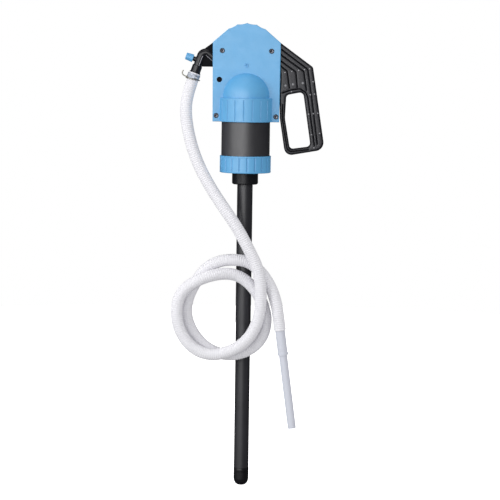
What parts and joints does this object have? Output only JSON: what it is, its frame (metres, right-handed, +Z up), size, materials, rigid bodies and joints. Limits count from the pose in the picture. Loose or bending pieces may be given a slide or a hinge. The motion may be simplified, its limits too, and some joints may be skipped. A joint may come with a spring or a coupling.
{
  "type": "lever-action barrel pump",
  "caption": "Hand lever lift pump for drums: two-half head, drop handle, barrel, long suction tube with strainer, hooked spout with hose and nozzle.",
  "frame": {"origin": "on the pump axis, at the upper end of the bung thread, just below the clamp nut", "axes": "+Z up along the pump axis, -Y towards the front cover, +X towards the handle"},
  "size_m": [0.3494, 0.138, 1.0788],
  "materials": {
    "head_plastic": "moulded satin, light blue",
    "lever_plastic": "moulded satin, charcoal",
    "black_plastic": "moulded satin, black",
    "barrel_plastic": "semi-matt, charcoal",
    "tube_plastic": "extruded semi-matt, black",
    "white_nylon": "natural",
    "seal_rubber": "moulded",
    "dark_steel": "dark oxide",
    "bright_steel": "ground",
    "zinc_steel": "zinc plated",
    "hose_plastic": "translucent, fine ribs",
    "nozzle_plastic": "translucent, smooth"
  },
  "bodies": {
    "head": {"front_cover": "head_plastic", "rear_cover": "head_plastic", "cover_screws": "dark_steel", "cover_nuts": "dark_steel", "pivot_pins": "black_plastic", "barrel": "barrel_plastic", "cylinder_head": "black_plastic", "head_o_ring": "seal_rubber", "rod_guide_bush": "white_nylon", "rod_seal": "seal_rubber", "gland_nut": "black_plastic", "barrel_nut": "head_plastic", "bung_adapter": "black_plastic", "barrel_gasket": "seal_rubber", "suction_tube_upper": "tube_plastic", "suction_tube_lower": "tube_plastic", "tube_joint_sleeve": "tube_plastic", "foot_strainer": "black_plastic", "foot_valve_seat": "white_nylon", "foot_valve_cage": "white_nylon", "outlet_spout": "lever_plastic", "outlet_seal": "seal_rubber", "hose_clamp_band": "zinc_steel", "hose_clamp_screw": "zinc_steel", "hose_upper": "hose_plastic", "hose_coil": "hose_plastic", "hose_tail": "hose_plastic", "nozzle_sleeve": "nozzle_plastic", "nozzle_tube": "nozzle_plastic"},
    "lever": {"lever": "lever_plastic", "lever_bushes": "white_nylon"},
    "rod": {"piston_rod": "bright_steel", "rod_pin": "bright_steel", "rod_pin_clips": "dark_steel", "piston": "white_nylon", "piston_cup_seal": "seal_rubber", "valve_stop_collar": "white_nylon", "piston_nut": "bright_steel"},
    "piston_valve": {"piston_valve_disc": "seal_rubber"},
    "foot_valve": {"foot_valve_disc": "seal_rubber"},
    "vent_knob": {"vent_knob": "head_plastic", "vent_needle": "black_plastic"}
  },
  "joints": [
    {"name": "lever_pivot", "type": "hinge", "parent": "head", "child": "lever", "pos_m": [-0.062, 0, 0.216], "axis": [0, -1, 0], "range_deg": [0, 41.6]},
    {"name": "rod_slide", "type": "slide", "parent": "head", "child": "rod", "axis": [0, 0, 1], "range_m": [0, 0.0475]},
    {"name": "piston_valve_lift", "type": "slide", "parent": "rod", "child": "piston_valve", "axis": [0, 0, 1], "range_m": [0, 0.003]},
    {"name": "foot_valve_lift", "type": "slide", "parent": "head", "child": "foot_valve", "axis": [0, 0, 1], "range_m": [0, 0.004]},
    {"name": "vent_knob_turn", "type": "hinge", "parent": "head", "child": "vent_knob", "pos_m": [-0.10915, 0, 0.2584], "axis": [-0.9455, 0, 0.3256], "range_deg": [0, 180]}
  ],
  "couplings": [
    {"joint": "rod_slide", "follows": "lever_pivot", "m_per_rad": 0.06487}
  ]
}
